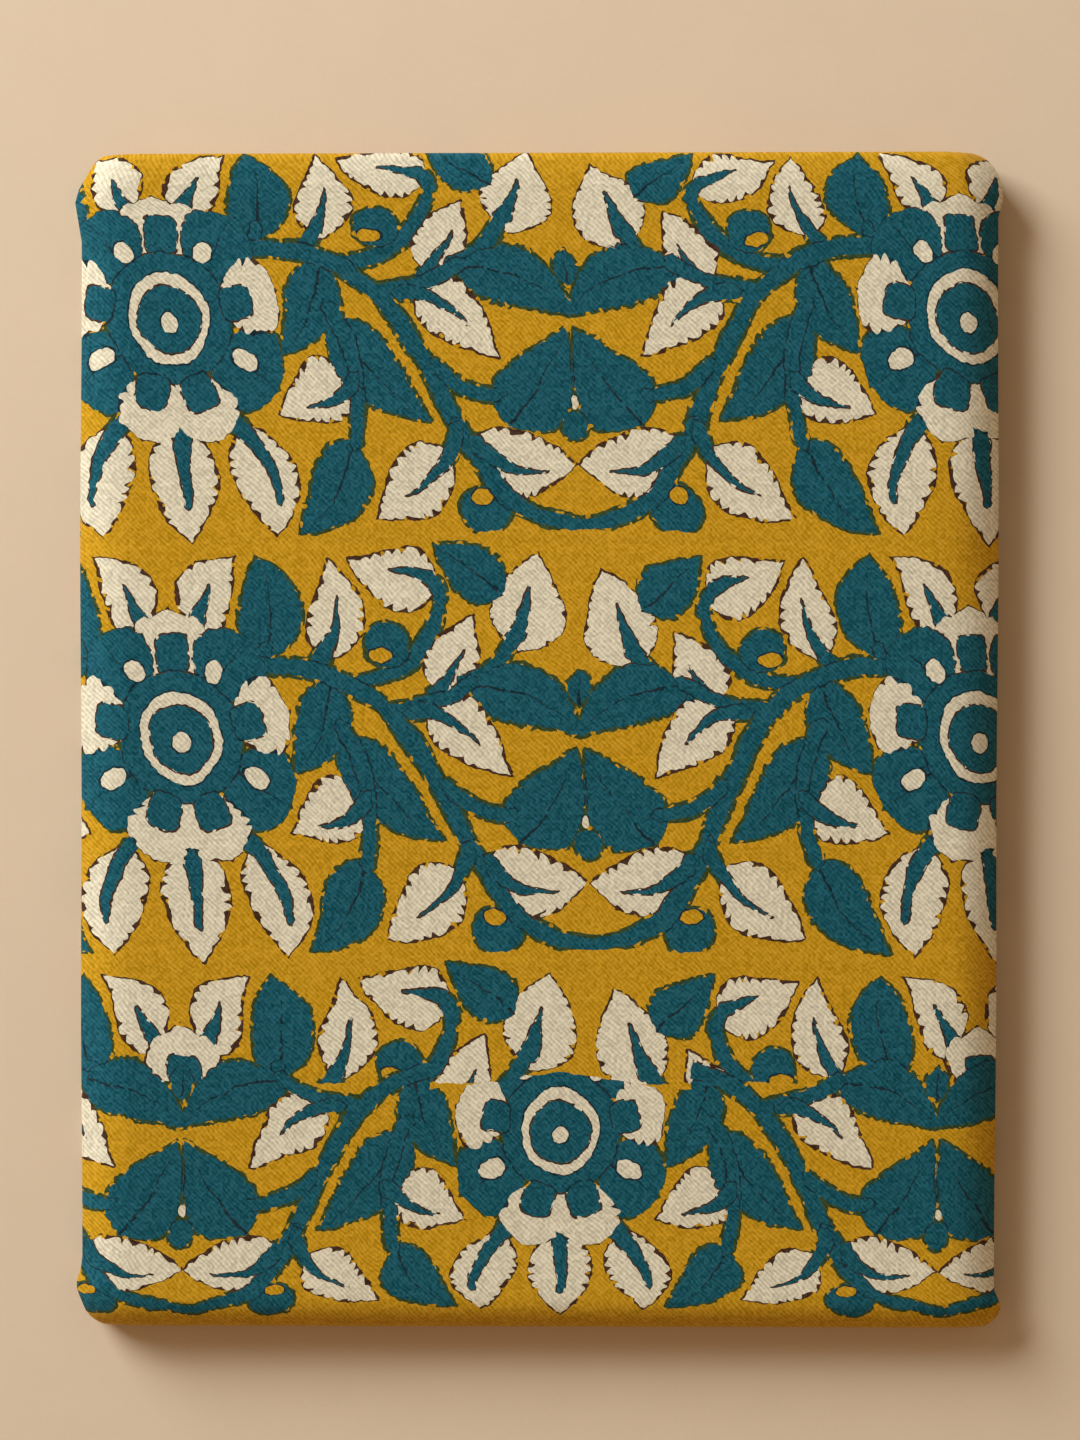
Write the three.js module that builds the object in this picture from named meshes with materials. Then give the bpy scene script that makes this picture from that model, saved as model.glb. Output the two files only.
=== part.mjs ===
// A dress length of block-printed cotton, folded flat into a pack.
// Units are millimetres, +Z is up, +X is across the pack and +Y is away from its rolled-over end.
// The origin is at the middle of the underside.
//
// The cloth is first folded in four across its width, which makes a strip of four plies. The strip is
// then folded back and forth, and its last two panels are wrapped over the near end of the others.
// Here the strip is drawn out straight, with its section, and then folded along a path.
import * as THREE from "three";

// Driving dimensions
const packLength = 358;
const packWidth = 280;
const plyPitch = 0.6; // one ply of cotton with the air above it
const pliesInStrip = 4;
const gapBetweenPanels = 0.4;

// How the pack is pressed down at its left and right edges, and at its far end
const sideDropShare = 0.34;
const sideDropReach = 14;
const farDropShare = 0.1;
const farDropReach = 12;

// How the outline leaves a true rectangle, besides its corners
const rightSideTaper = 1.3; // the right side comes in by this much towards the near end
const farEdgeSkew = 0.8; // the far edge is this much further out at its right end
const outlineFadesOver = 40; // how far in from a side the cloth still follows its edge

const stripThickness = plyPitch * pliesInStrip;
const panelPitch = stripThickness + gapBetweenPanels;
const halfWidth = packWidth / 2;
const halfLength = packLength / 2;

// The strip's middle turns on a small radius between neighbouring panels, and on a wide one where it
// is wrapped over the near end
const smallTurnRadius = panelPitch / 2;
const wrappedPanels = 6;
const wrapRadius = (wrappedPanels * panelPitch) / 2;
const farTurn = halfLength - stripThickness / 2 - smallTurnRadius;
const nearTurn = halfLength - stripThickness / 2 - wrapRadius;

// The strip starts at its cut end, inside the pack, a little short of the wrapped end
const startsAt = 1.2 - nearTurn;

// The panels, in the order in which the strip runs through them. level counts up from the underside,
// turnsAt is where the panel ends along Y, and left and right are how far its edges stand out.
const panels = [
  { level: 1, turnsAt: farTurn - 0.5, left: -0.9, right: -0.5 },
  { level: 2, turnsAt: -nearTurn - 3.2, left: -0.4, right: -1.2 },
  { level: 3, turnsAt: farTurn - 1.1, left: -1.1, right: -0.3 },
  { level: 4, turnsAt: 0.4 - nearTurn, left: -0.5, right: -0.8 },
  { level: 5, turnsAt: farTurn, left: -0.7, right: -0.9 },
  { level: 6, turnsAt: -nearTurn, left: 0, right: 0 },
  { level: 0, turnsAt: farTurn - 3, left: -0.6, right: -1 },
];

// The corners, seen from above. At the very end of the pack a side is drawn in by inset, and comes
// out to its line over roundOver, the sharper the more bend is. It stands out by ear at earFromEnd.
const corners = {
  farLeft: { inset: 5.7, roundOver: 11, bend: 1.5, ear: 2, earFromEnd: 15.5, earHalfSpan: 9 },
  farRight: { inset: 6.9, roundOver: 11, bend: 3, ear: 1.6, earFromEnd: 12.5, earHalfSpan: 7 },
  nearLeft: { inset: 5.8, roundOver: 9, bend: 2.5, ear: 1.8, earFromEnd: 13, earHalfSpan: 7 },
  nearRight: { inset: 2.5, roundOver: 3, bend: 2, ear: 2.2, earFromEnd: 6.5, earHalfSpan: 6 },
};

// Where the strip is divided: along a panel from each of its ends, and across from each edge
const dividedFromEnd = [0, 2.5, 6, 10, 14, 20];
const dividedFromEdge = [stripThickness / 2, 4, 8, 14, 40];
const stepsInSmallTurn = 6;
const stepsInWrap = 10;
const stepsInEdge = 3;

// The height of the strip's middle at a level
function heightOf(level) {
  return level * panelPitch + stripThickness / 2;
}

// The stations of the strip along its path: a place in the YZ plane, the strip's normal there, and
// how far its two edges stand out
function foldStations() {
  const stations = [];
  let start = startsAt;
  panels.forEach((panel, index) => {
    stations.push(...panelStations(panel, start));
    const next = panels[index + 1];
    if (next) stations.push(...turnStations(panel, next, Math.sign(panel.turnsAt - start)));
    start = panel.turnsAt;
  });
  return stations;
}

// A level panel, from the place where it starts to the place where it turns
function panelStations(panel, start) {
  const span = panel.turnsAt - start;
  const way = Math.sign(span);
  const fromStart = dividedFromEnd.map((distance) => start + way * distance);
  const fromEnd = dividedFromEnd.map((distance) => panel.turnsAt - way * distance).reverse();
  return [...fromStart, start + span / 2, ...fromEnd].map((y) => ({
    y,
    z: heightOf(panel.level),
    normalY: 0,
    normalZ: -way,
    left: panel.left,
    right: panel.right,
  }));
}

// A half turn from one panel to the next, without its two ends, which belong to the panels
function turnStations(panel, next, way) {
  const rise = heightOf(next.level) - heightOf(panel.level);
  const radius = Math.abs(rise) / 2;
  const steps = radius > smallTurnRadius ? stepsInWrap : stepsInSmallTurn;
  const side = way * Math.sign(rise); // the normal points out of the turn, or into it
  const stations = [];
  for (let step = 1; step < steps; step++) {
    const share = step / steps;
    const outY = way * Math.sin(Math.PI * share);
    const outZ = -Math.sign(rise) * Math.cos(Math.PI * share);
    stations.push({
      y: panel.turnsAt + radius * outY,
      z: heightOf(panel.level) + rise / 2 + radius * outZ,
      normalY: side * outY,
      normalZ: side * outZ,
      left: THREE.MathUtils.lerp(panel.left, next.left, share),
      right: THREE.MathUtils.lerp(panel.right, next.right, share),
    });
  }
  return stations;
}

// The strip's section: X across the pack, Y through the strip, with its folded edges rounded
function stripSection() {
  const radius = stripThickness / 2;
  const rightOf = dividedFromEdge.map((distance) => halfWidth - distance);
  const leftToRight = [...rightOf.map((x) => -x), ...rightOf.slice().reverse()];
  const points = leftToRight.map((x) => new THREE.Vector2(x, -radius));
  points.push(...roundedEdge(halfWidth - radius, radius, -Math.PI / 2));
  points.push(...leftToRight.map((x) => new THREE.Vector2(-x, radius)));
  points.push(...roundedEdge(radius - halfWidth, radius, Math.PI / 2));
  return new THREE.Shape(points);
}

// The points of a half circle, without its ends
function roundedEdge(centreX, radius, fromAngle) {
  const points = [];
  for (let step = 1; step < stepsInEdge; step++) {
    const angle = fromAngle + (Math.PI * step) / stepsInEdge;
    const out = new THREE.Vector2(Math.cos(angle), Math.sin(angle));
    points.push(new THREE.Vector2(centreX, 0).addScaledVector(out, radius));
  }
  return points;
}

// The share of its height that the pack keeps at a place: all of it except near three of its edges
function heightShare(x, y) {
  const nearSide = Math.max(0, 1 - (halfWidth - Math.abs(x)) / sideDropReach);
  const nearFarEnd = Math.max(0, 1 - (halfLength - y) / farDropReach);
  return 1 - sideDropShare * Math.min(1, nearSide) ** 2 - farDropShare * nearFarEnd ** 2;
}

// How far the outline is drawn in beside a place, at its nearest corner
function drawnIn(x, y) {
  const corner = corners[(y > 0 ? "far" : "near") + (x > 0 ? "Right" : "Left")];
  const fromEnd = halfLength - Math.abs(y);
  const round = Math.max(0, 1 - fromEnd / corner.roundOver) ** corner.bend;
  const offEar = Math.min(1, Math.abs(fromEnd - corner.earFromEnd) / corner.earHalfSpan);
  const taper = x > 0 ? rightSideTaper * (0.5 - y / packLength) : 0;
  return corner.inset * round - corner.ear * Math.cos((offEar * Math.PI) / 2) ** 2 + taper;
}

// The section drawn along a straight length with one step for each station, and then folded
function foldedStrip() {
  const stations = foldStations();
  const steps = stations.length - 1;
  const geometry = new THREE.ExtrudeGeometry(stripSection(), {
    depth: steps,
    steps,
    bevelEnabled: false,
  });
  const position = geometry.getAttribute("position");
  for (let i = 0; i < position.count; i++) {
    const station = stations[Math.round(position.getZ(i))];
    const across = position.getX(i);
    const through = position.getY(i);
    const y = station.y + through * station.normalY;
    const z = station.z + through * station.normalZ;
    const follows = Math.max(0, 1 - (halfWidth - Math.abs(across)) / outlineFadesOver);
    const standsOut = (across < 0 ? station.left : station.right) - drawnIn(across, y);
    const skew = (farEdgeSkew * across * y) / (packWidth * halfLength);
    position.setXYZ(
      i,
      across + Math.sign(across) * follows * standsOut,
      y + skew,
      z * heightShare(across, y),
    );
  }
  return geometry;
}

// The origin goes to the middle of the underside
function centred(geometry) {
  geometry.computeBoundingBox();
  const middle = geometry.boundingBox.getCenter(new THREE.Vector3());
  geometry.translate(-middle.x, -middle.y, 0);
  geometry.computeVertexNormals();
  return geometry;
}

const printedCotton = new THREE.MeshStandardMaterial({
  name: "printed_cotton",
  color: 0xbb871b,
  roughness: 0.92,
  metalness: 0,
});

const foldedCloth = new THREE.Mesh(centred(foldedStrip()), printedCotton);
foldedCloth.name = "folded_cloth";

const pack = new THREE.Group();
pack.add(foldedCloth);

export default pack;
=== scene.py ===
# A dress length of block-printed cotton, folded flat into a pack.
# The frame is in metres, +Z up, +X across the pack and +Y towards its far folds.
# The cloth's own sizes are worked out in millimetres, and made metres as they go into a mesh.
import math
import bpy
import numpy as np
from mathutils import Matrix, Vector


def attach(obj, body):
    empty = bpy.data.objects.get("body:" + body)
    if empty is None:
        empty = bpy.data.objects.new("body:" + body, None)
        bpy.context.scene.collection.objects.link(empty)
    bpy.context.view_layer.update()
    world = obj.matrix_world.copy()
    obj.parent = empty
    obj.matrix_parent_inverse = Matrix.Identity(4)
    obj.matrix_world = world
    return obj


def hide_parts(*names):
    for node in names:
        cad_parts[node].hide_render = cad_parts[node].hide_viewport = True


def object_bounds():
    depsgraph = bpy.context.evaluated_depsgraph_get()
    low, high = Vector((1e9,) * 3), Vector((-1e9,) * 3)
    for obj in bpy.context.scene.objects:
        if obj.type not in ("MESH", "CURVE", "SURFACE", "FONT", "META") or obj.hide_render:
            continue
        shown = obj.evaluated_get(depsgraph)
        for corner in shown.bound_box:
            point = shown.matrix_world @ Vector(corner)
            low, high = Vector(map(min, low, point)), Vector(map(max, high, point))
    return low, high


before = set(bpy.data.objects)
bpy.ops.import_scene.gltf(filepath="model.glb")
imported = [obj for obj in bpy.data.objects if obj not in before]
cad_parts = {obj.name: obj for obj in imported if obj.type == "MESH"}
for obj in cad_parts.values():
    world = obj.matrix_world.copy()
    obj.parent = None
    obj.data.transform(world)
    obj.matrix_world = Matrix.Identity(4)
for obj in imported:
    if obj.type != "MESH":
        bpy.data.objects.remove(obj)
cadLow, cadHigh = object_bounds()
mm = 0.001


def sRgb(code):
    # linear = ((s + .055) / 1.055) ** 2.4 above .04045, and s / 12.92 below it
    parts = [int(code[i:i + 2], 16) / 255 for i in (1, 3, 5)]
    linear = [((s + 0.055) / 1.055) ** 2.4 if s > 0.04045 else s / 12.92 for s in parts]
    return (*linear, 1.0)


def addNode(tree, kind, inputs=(), output=0, **settings):
    # A node with its settings, its values and its links; gives back one of its outputs, or none of
    # them where output is an empty slice
    node = tree.nodes.new(kind if kind.startswith("Node") else "ShaderNode" + kind)
    for name, value in settings.items():
        setattr(node, name, value)
    for key, value in inputs.items() if isinstance(inputs, dict) else enumerate(inputs):
        if isinstance(value, bpy.types.NodeSocket):
            tree.links.new(value, node.inputs[key])
        else:
            node.inputs[key].default_value = value
    return node.outputs[output]


# The folded cloth. Lengths are in mm and repeat the solid's.
cloth = {
    "packLength": 358,
    "packWidth": 280,
    "stripThickness": 2.4,  # four plies, folded in four across
    "panelPitch": 2.8,
    "wrappedPanels": 6,
    "cutEndIn": 1.2,  # the cut end lies this far in from the near turns
    "selvedgesIn": (1.6, 2.1),  # and the two selvedges from the right side
    "yarnThickness": 0.38,
    "flatWidth": 1120,
    "sideDropShare": 0.34,
    "sideDropReach": 14,
    "farDropShare": 0.1,
    "farDropReach": 12,
    "rightSideTaper": 1.3,
    "farEdgeSkew": 0.8,
    "outlineFadesOver": 40,
    "edgesStray": 0.175,  # how far each of two waves carries the stacked edges off their lines
}
halfWidth = cloth["packWidth"] / 2
halfLength = cloth["packLength"] / 2
plyPitch = (cloth["stripThickness"] - cloth["yarnThickness"]) / 3
smallTurn = cloth["panelPitch"] / 2
wrapTurn = cloth["wrappedPanels"] * smallTurn
farTurn = halfLength - cloth["stripThickness"] / 2 - smallTurn
nearTurn = halfLength - cloth["stripThickness"] / 2 - wrapTurn

# The panels in the order in which the strip runs through them: level from the underside, where the
# panel ends along Y, and how far its left and right edges stand out
panels = [
    (1, farTurn - 0.5, -0.9, -0.5),
    (2, -nearTurn - 3.2, -0.4, -1.2),
    (3, farTurn - 1.1, -1.1, -0.3),
    (4, 0.4 - nearTurn, -0.5, -0.8),
    (5, farTurn, -0.7, -0.9),
    (6, -nearTurn, 0, 0),
    (0, farTurn - 3, -0.6, -1),
]
topPanel = 5

# The plies of the strip, from selvedge to selvedge: height through the strip and where the ply ends
# across it. The second ply is the one that shows on the top of the pack.
outerFold = halfWidth - cloth["yarnThickness"] / 2 - 1.5 * plyPitch
innerFold = halfWidth - cloth["yarnThickness"] / 2 - 0.5 * plyPitch
firstSelvedge, lastSelvedge = (halfWidth - inward for inward in cloth["selvedgesIn"])
plies = [
    (-1.5 * plyPitch, -outerFold),
    (1.5 * plyPitch, innerFold),
    (0.5 * plyPitch, 0.8 - outerFold),
    (-0.5 * plyPitch, lastSelvedge),
]
topPly = 1

# Where the sheet is divided: at these distances from each turn or fold, then in even steps, and in
# so many steps round each turn or fold
divided = {
    "fromTurn": (0, 2, 4.5, 8, 12, 17, 24),
    "alongPanel": 11,
    "roundTurns": (8, 8, 8, 8, 8, 16),
    "fromFold": (0, 1.6, 3.6, 6.5, 10, 14, 20),
    "acrossPly": 13,
    "roundFolds": (8, 5, 5),
}

# The corners seen from above, as in the solid
cornerColumns = ("inset", "roundOver", "bend", "ear", "earFromEnd", "earHalfSpan")
corners = {
    ("far", "left"): (5.7, 11, 1.5, 2, 15.5, 9),
    ("far", "right"): (6.9, 11, 3, 1.6, 12.5, 7),
    ("near", "left"): (5.8, 9, 2.5, 1.8, 13, 7),
    ("near", "right"): (2.5, 3, 2, 2.2, 6.5, 6),
}

# The waves of the stacked edges: mm along the pack to a radian, and radians from panel to panel
edgeWaves = [(23, 2.3), (61, -1.1)]

# Soft troughs pressed into the pack: centre, reach along and across, turn in degrees, share of the
# height lost at the centre
troughs = [
    (133, 52, 30, 9, 84, 0.05),
    (-60, 30, 70, 16, 35, 0.012),
    (40, -70, 80, 18, -28, 0.014),
    (88, 96, 60, 15, 62, 0.012),
    (-96, -104, 55, 14, -50, 0.014),
    (-30, 140, 60, 12, 8, 0.016),
    (20, -150, 75, 10, -4, 0.02),
]


def backAndForth(heights, turnsAt, startsAt, fromEnds, widestStep, turnSteps):
    # Level runs joined by half circles. On a run the height is fixed and the place moves straight to
    # its end. On a turn place = end + way r sin(pi s) and height = middle - sign(rise) r cos(pi s).
    # The normal is (0, -way) on a run, and way sign(rise) times the outward direction on a turn.
    # The path's rows are place, height, the normal's two parts, and the run with its share turned.
    fromEnds = np.array(fromEnds)
    parts = []
    start = startsAt
    for run, (height, end) in enumerate(zip(heights, turnsAt)):
        span, way = abs(end - start), np.sign(end - start)
        count = 1 + math.ceil((span - 2 * fromEnds[-1]) / widestStep)
        middle = np.linspace(fromEnds[-1], span - fromEnds[-1], count)
        gone = np.concatenate([fromEnds[:-1], middle, span - fromEnds[-2::-1]])
        flat = np.zeros_like(gone)
        parts.append(np.stack([start + way * gone, flat + height, flat, flat - way, flat + run]))
        if run < len(turnSteps):
            rise = heights[run + 1] - height
            share = np.arange(1, turnSteps[run]) / turnSteps[run]
            outAlong = way * np.sin(np.pi * share)
            outUp = -np.sign(rise) * np.cos(np.pi * share)
            side = way * np.sign(rise)
            parts.append(np.stack([
                end + abs(rise) / 2 * outAlong,
                height + rise / 2 + abs(rise) / 2 * outUp,
                side * outAlong,
                side * outUp,
                run + share,
            ]))
        start = end
    path = np.concatenate(parts, axis=1)
    steps = np.hypot(np.diff(path[0]), np.diff(path[1]))
    return path, np.concatenate([[0], np.cumsum(steps)])


def heightShare(x, y):
    # 1 - drop (1 - in from side / reach)^2 - drop (1 - in from far end / reach)^2, less the troughs
    nearSide = np.clip(1 - (halfWidth - np.abs(x)) / cloth["sideDropReach"], 0, 1)
    nearEnd = np.maximum(0, 1 - (halfLength - y) / cloth["farDropReach"])
    share = 1 - cloth["sideDropShare"] * nearSide**2 - cloth["farDropShare"] * nearEnd**2
    for centreX, centreY, reach, spread, turn, depth in troughs:
        cos, sin = math.cos(math.radians(turn)), math.sin(math.radians(turn))
        along = ((x - centreX) * cos + (y - centreY) * sin) / reach
        across = ((y - centreY) * cos - (x - centreX) * sin) / spread
        share = share - depth * np.exp(-(along**2) - across**2)
    return share


def drawnIn(x, y):
    # inset (1 - from end / round)^bend - ear cos^2(how far off the ear), and a taper on the right
    fromEnd = halfLength - np.abs(y)
    total = np.where(x > 0, cloth["rightSideTaper"] * (0.5 - y / cloth["packLength"]), 0)
    for (end, side), row in corners.items():
        corner = dict(zip(cornerColumns, row))
        here = ((y > 0) == (end == "far")) & ((x > 0) == (side == "right"))
        rounding = np.maximum(0, 1 - fromEnd / corner["roundOver"]) ** corner["bend"]
        offEar = np.minimum(1, np.abs(fromEnd - corner["earFromEnd"]) / corner["earHalfSpan"])
        pulled = corner["inset"] * rounding - corner["ear"] * np.cos(offEar * np.pi / 2) ** 2
        total = total + np.where(here, pulled, 0)
    return total


def clothSurface():
    # The strip's path in the YZ plane carries the plies' path in the XH plane:
    # (x, y, z) = (X(u), Y(v) + H(u) normalY(v), (Z(v) + H(u) normalZ(v)) heightShare)
    levels, turnsAt, lefts, rights = (list(column) for column in zip(*panels))
    middles = [level * cloth["panelPitch"] + cloth["stripThickness"] / 2 for level in levels]
    strip, stripLength = backAndForth(
        middles, turnsAt, cloth["cutEndIn"] - nearTurn,
        divided["fromTurn"], divided["alongPanel"], divided["roundTurns"],
    )
    heights, foldsAt = zip(*plies)
    ply, plyLength = backAndForth(
        heights, foldsAt, firstSelvedge,
        divided["fromFold"], divided["acrossPly"], divided["roundFolds"],
    )
    y, z, normalY, normalZ, run = (row[:, None] for row in strip)
    across, through = ply[0][None, :], ply[1][None, :]
    placeY = y + through * normalY
    placeZ = z + through * normalZ
    order = np.arange(len(panels))
    left, right = np.interp(run, order, lefts), np.interp(run, order, rights)
    waves = sum(np.sin(placeY / length + run * turn) for length, turn in edgeWaves)
    follows = np.maximum(0, 1 - (halfWidth - np.abs(across)) / cloth["outlineFadesOver"])
    standsOut = np.where(across < 0, left, right) - drawnIn(across, placeY) + cloth["edgesStray"] * waves
    x = across + np.sign(across) * follows * standsOut
    skew = cloth["farEdgeSkew"] * across * placeY / (cloth["packWidth"] * halfLength)
    points = np.stack([x, placeY + skew, placeZ * heightShare(across, placeY)], axis=-1)
    points[..., :2] -= (points[..., :2].max(axis=(0, 1)) + points[..., :2].min(axis=(0, 1))) / 2

    # The map follows the cloth in mm: 0, 0 at the far left corner of the face on top
    topStart = stripLength[np.argmax(strip[4] >= topPanel)] - (halfLength - farTurn)
    topEdge = plyLength[np.argmax(ply[4] >= topPly)] - (halfWidth - outerFold)
    acrossCloth, alongCloth = plyLength[None, :] - topEdge, (stripLength - topStart)[:, None]
    flat = np.stack(np.broadcast_arrays(acrossCloth, alongCloth), axis=-1)
    return points, flat, stripLength[-1]


def gridMesh(name, points, flat):
    # Rows follow the strip's path and columns the plies', so this winding faces the printed side up
    rows, columns = points.shape[:2]
    corner = np.arange(rows * columns).reshape(rows, columns)
    faces = np.stack([corner[:-1, :-1], corner[1:, :-1], corner[1:, 1:], corner[:-1, 1:]], axis=-1)
    faces = faces.reshape(-1, 4)
    mesh = bpy.data.meshes.new(name)
    mesh.from_pydata((points.reshape(-1, 3) * mm).tolist(), [], faces.tolist())
    mesh.polygons.foreach_set("use_smooth", np.ones(len(faces), dtype=bool))
    layer = mesh.uv_layers.new(name="clothWeave")
    layer.data.foreach_set("uv", (flat.reshape(-1, 2)[faces.ravel()] * mm).ravel())
    mesh.update()
    piece = bpy.data.objects.new(name, mesh)
    bpy.context.collection.objects.link(piece)
    return piece


# The print. A half repeat is drawn in mm, right of and below the middle of a flower, and mirrored.
# Each shape is a stamp laid over those before it, and three of one kind are worked out at a time,
# one on each axis of a vector.
ground, cream, teal = 0, 1, 2
printed = {
    "halfRepeat": 121.5,
    "rowPitch": 127.4,
    "rowCycle": 3.0,  # rows from one shifted row to the next
    "firstRow": 50.6,  # from the far edge of the pack to the first flowers' middle
    "rowReach": 60.5,  # how far a row's leaves stand above its flowers
    "reachSwing": 2.5,  # and how much less above a flower, and more between two
    "firstAxis": 27.3,  # the first flower's middle from the left edge of the pack
    "axisDrift": 3.7,  # and how much further it lies with each row
    "swingAxis": 31,  # a flower's middle as the two swings count it
    "pressedOver": 20.6,  # the far end of the cloth was pulled in under the first block
    "pressedBy": 6.5,
    "lean": 0.08,  # the print leans to the side as it goes down, and the flowers more than the rest
    "leanSwing": 0.02,
    "scallopCream": 0.23,  # how deep the lobes are, as a share of a leaf's half width
    "scallopTeal": 0.08,
    "lobeMiddle": 0.6,  # the part of a lobe that lies inside the leaf's plain outline
    "lobeDrift": 6,  # radians by which the lobes slide as the yarns wander
    "edgeWidth": 1.15,  # how far an edge reaches out from its ink
    "edgeOnInk": 0.52,  # and how far where it lies on another ink
    "brownLess": 0.22,  # how much narrower the brown edge of cream ink is than the green one of teal
    "brownFills": 0.7,  # how far it fills up the dents between two lobes
    "veinHalf": 0.52,
    "sagsFrom": 50,  # left of a flower the leaf tips hang lower than their mirror image
    "sagsWholly": 88,
    "sag": 5,
}
# In the third row the blocks below the leaf tops were set half a repeat along, a little smaller
shiftedRow = {
    "row": 2,  # counted from 0
    "axis": 146.2,
    "halfRepeat": 115,
    "rise": 7.95,
    "flowerHeight": 0.92,
    "vineHeight": 0.96,
    "vineFrom": 40,  # from here to there the height changes from the flower's to the vine's
    "vineWholly": 100,
    "squeezedBelow": 44,
    "squeeze": 0.56,
    "tipsEnd": -22.6,  # the leaf tips of the row's first blocks end here
    "flowerStarts": -19.4,  # and the shifted flower starts here, lower the further out
    "flowerSlant": 0.14,
    "vineStarts": 42,  # how far out from the flower its vine reaches up to the leaf tips
}

leafColumns = ("baseX", "baseY", "tipX", "tipY", "bow", "twist", "half", "rise", "fall", "lobes")
upperCreamLeaves = [
    (9.4, -30.4, 21.4, -54.6, -4.4, -1.6, 7.6, 0.45, 0.7, 5),
    (47, -24, 49.5, -54, 2.4, 0.8, 7.8, 0.45, 0.95, 7),
    (81, -46, 55.5, -53.8, -1.2, -1.6, 9, 0.35, 0.9, 7),
    (104.4, -26, 112, -55.6, 0, -1.2, 10.2, 0.45, 0.85, 8),
    (78.4, -14, 91, -37, 0.4, -0.8, 7.4, 0.35, 0.9, 6),
]
upperTealLeaves = [
    (28.8, -23.6, 28.6, -54.8, 2.2, 1.4, 9, 0.35, 0.5, 10),
    (100.1, -43.6, 81.4, -59, 0, 0, 7.8, 0.35, 0.85, 7),
]
lowerCreamLeaves = [
    (76.3, -9.5, 99.6, 11.6, -0.7, 0.6, 8.5, 0.3, 0.95, 7),
    (52.9, 18.5, 31, 29, 0, -0.8, 9.3, 0.28, 0.9, 7),
    (81.2, 39.6, 58.6, 61, -1.8, -1, 9.2, 0.4, 0.8, 8),
    (92, 36, 120.8, 44.6, 5, 0, 9.3, 0.45, 0.6, 7),
    (0, 32, 0, 68.5, 0, 0, 9.6, 0.5, 0.8, 7),
    (19.6, 32.5, 26.6, 66, -2.4, -1.6, 9, 0.45, 0.6, 8),
]
lowerTealLeaves = [
    (88, -15.5, 123, -0.4, -4.5, -0.6, 8.9, 0.5, 0.9, 10),
    (47.5, -18, 34, 11, -2.5, -0.8, 8, 0.45, 0.75, 7),
    (48.5, 0.3, 77.5, 31.3, 2.4, 1.4, 9, 0.45, 0.9, 10),
    (53.4, 37.6, 34, 65.4, -3.4, -1, 9.2, 0.38, 0.85, 8),
    (101.2, 32.5, 120.2, 3.4, 1.8, 0, 11.6, 0.3, 0.97, 5),
    (121.5, -9.5, 121.5, -20.6, 0, 0, 3.6, 0.45, 0.5, 2),
]

strokeColumns = ("baseX", "baseY", "tipX", "tipY", "bow", "baseHalf", "tipHalf")
upperStrokes = [
    (54, -16.5, 81.6, -40.2, 6, 2.2, 2.1),
    (81.6, -40.2, 78.4, -48.8, 1.3, 2.1, 2.3),
    (79.4, -48.2, 67, -51, 0.6, 2.5, 0),
    (87, -16.5, 104, -32.6, 2.6, 2, 2.3),
    (103, -30, 108.4, -45.6, 0.6, 2.9, 0),
    (77.6, -12.5, 87.6, -26.5, 0.8, 2.3, 0),
    (26, -21, 28.8, -28, 0.5, 2.2, 1.6),
    (41.5, -20, 51.2, -42.4, 2.1, 2.8, 0),
    (7, -33, 13, -46.6, 0.4, 2.9, 0),
]
lowerStrokes = [
    (20, -20.5, 65.9, -5.4, -6.7, 2.5, 2.5),
    (65.9, -5.4, 85, 32, -1, 2.5, 2.6),
    (62, -8, 90, -16.8, 2.1, 2.3, 2),
    (85, 32, 99, 54.6, 0.4, 2.5, 2.7),
    (99, 54.6, 123, 63.2, 1.8, 2.7, 1.7),
    (48.7, -3.4, 55.5, 22.5, -2.1, 2.2, 2),
    (55.5, 22, 53.5, 38.6, -0.4, 2, 2),
    (79.5, 14.5, 99.5, 23.6, 2.6, 2.3, 2),
    (71.5, -8, 90.3, 2.3, -2.7, 2.7, 0),
    (85, 34, 67.8, 54.6, -3, 2.6, 0),
    (91, 38.5, 112.4, 46.6, 3.2, 3, 0),
    (54.6, 19, 39.2, 27.4, -2, 2.8, 0),
    (0, 31.5, 0, 57.3, 0, 3, 0.9),
    (13.8, 29, 28.6, 55.8, -3.3, 3, 0.9),
    (121.5, 24.5, 121.5, 8, 0, 0.1, 0.1),
]

blobColumns = ("x", "y", "halfX", "halfY", "turn", "square")
spiralBall = [(64.9, -28.2, 6.6, 6.5, 0, 0)]
spiralGap = [(62.6, -25.2, 3.6, 1.9, 0, 0)]
budAndScroll = [(121.5, 32.6, 3.9, 4.4, 0, 0), (92.6, 58.6, 7.4, 7.2, 0, 0)]
budGap = [(121.5, 25.8, 1.1, 1.8, 0, 0)]
scrollGap = [(91.8, 54.4, 3, 2.4, 0, 0)]

# The flower's petals point away from its middle, on coordinates pressed down a little, and each has
# a notch or a drop on its lower part
flowerPress = 0.92
petalColumns = ("angle", "inner", "outer", "half", "rise", "fall", "lobes")
farPetal = [(0, 16, 36.2, 6.8, 0.6, 0.3, 2), (12.5, 15, 34.6, 4.6, 0.9, 0.3, 2)]
creamPetals = [
    (77, 16, 34.2, 10.4, 0.5, 0.25, 4),
    (161, 15.5, 36, 9.2, 0.6, 0.26, 3),
    (180, 15.5, 31, 4.6, 0.4, 0.3, 2),
]
tealPetals = [(39, 14, 36, 10.8, 0.5, 0.28, 4), (122, 14, 37, 12, 0.5, 0.25, 4)]
notchColumns = ("angle", "at", "half", "span", "square")
farNotch = [(0, 23.4, 4.8, 5.2, 0.9)]
notches = [(78, 21.2, 4.8, 4.6, 0.9), (161, 21.9, 4.9, 5, 0.8)]
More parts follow.
